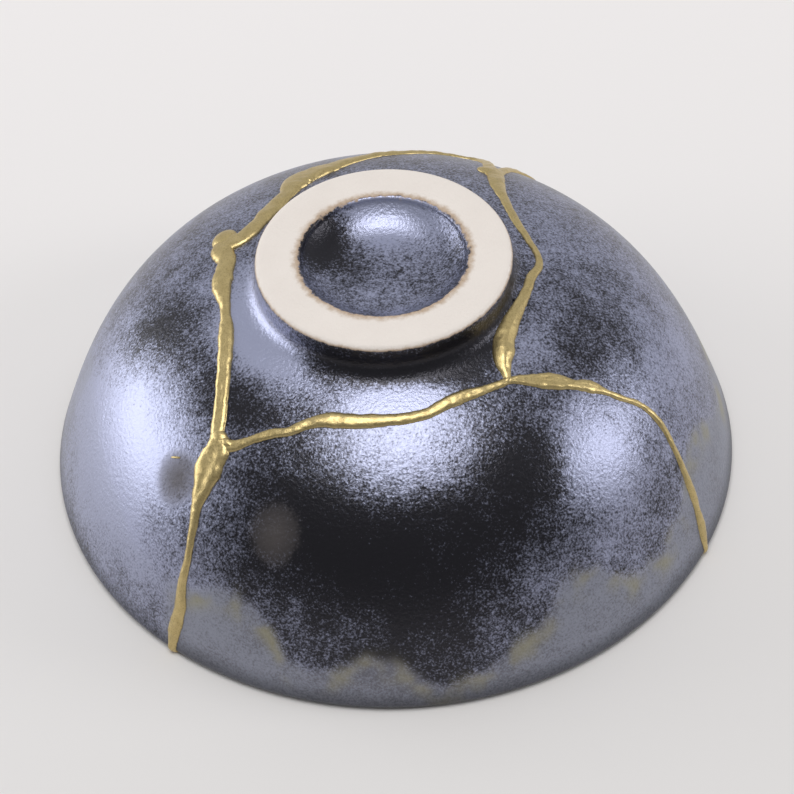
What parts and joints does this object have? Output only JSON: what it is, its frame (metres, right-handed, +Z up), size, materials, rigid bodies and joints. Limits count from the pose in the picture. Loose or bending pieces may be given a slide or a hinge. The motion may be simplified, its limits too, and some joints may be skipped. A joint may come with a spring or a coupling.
{
  "type": "kintsugi bowl",
  "caption": "Footed stoneware bowl standing upside down on its rim, its broken sherds rejoined by raised seams of gold lacquer.",
  "frame": {"origin": "centre of the rim's plane, on the surface that the upturned bowl stands on", "axes": "+Z up the bowl's axis, from the rim to the foot ring; +X to the right of the sherd between the two seams that run down the front, which faces -Y"},
  "size_m": [0.152, 0.1478, 0.0576],
  "materials": {
    "glaze": "satin",
    "gold": "satin"
  },
  "bodies": {
    "root": {"foot_sherd": "glaze", "front_sherd": "glaze", "left_sherd": "glaze", "right_sherd": "glaze", "gold_seam": "gold"}
  },
  "joints": []
}
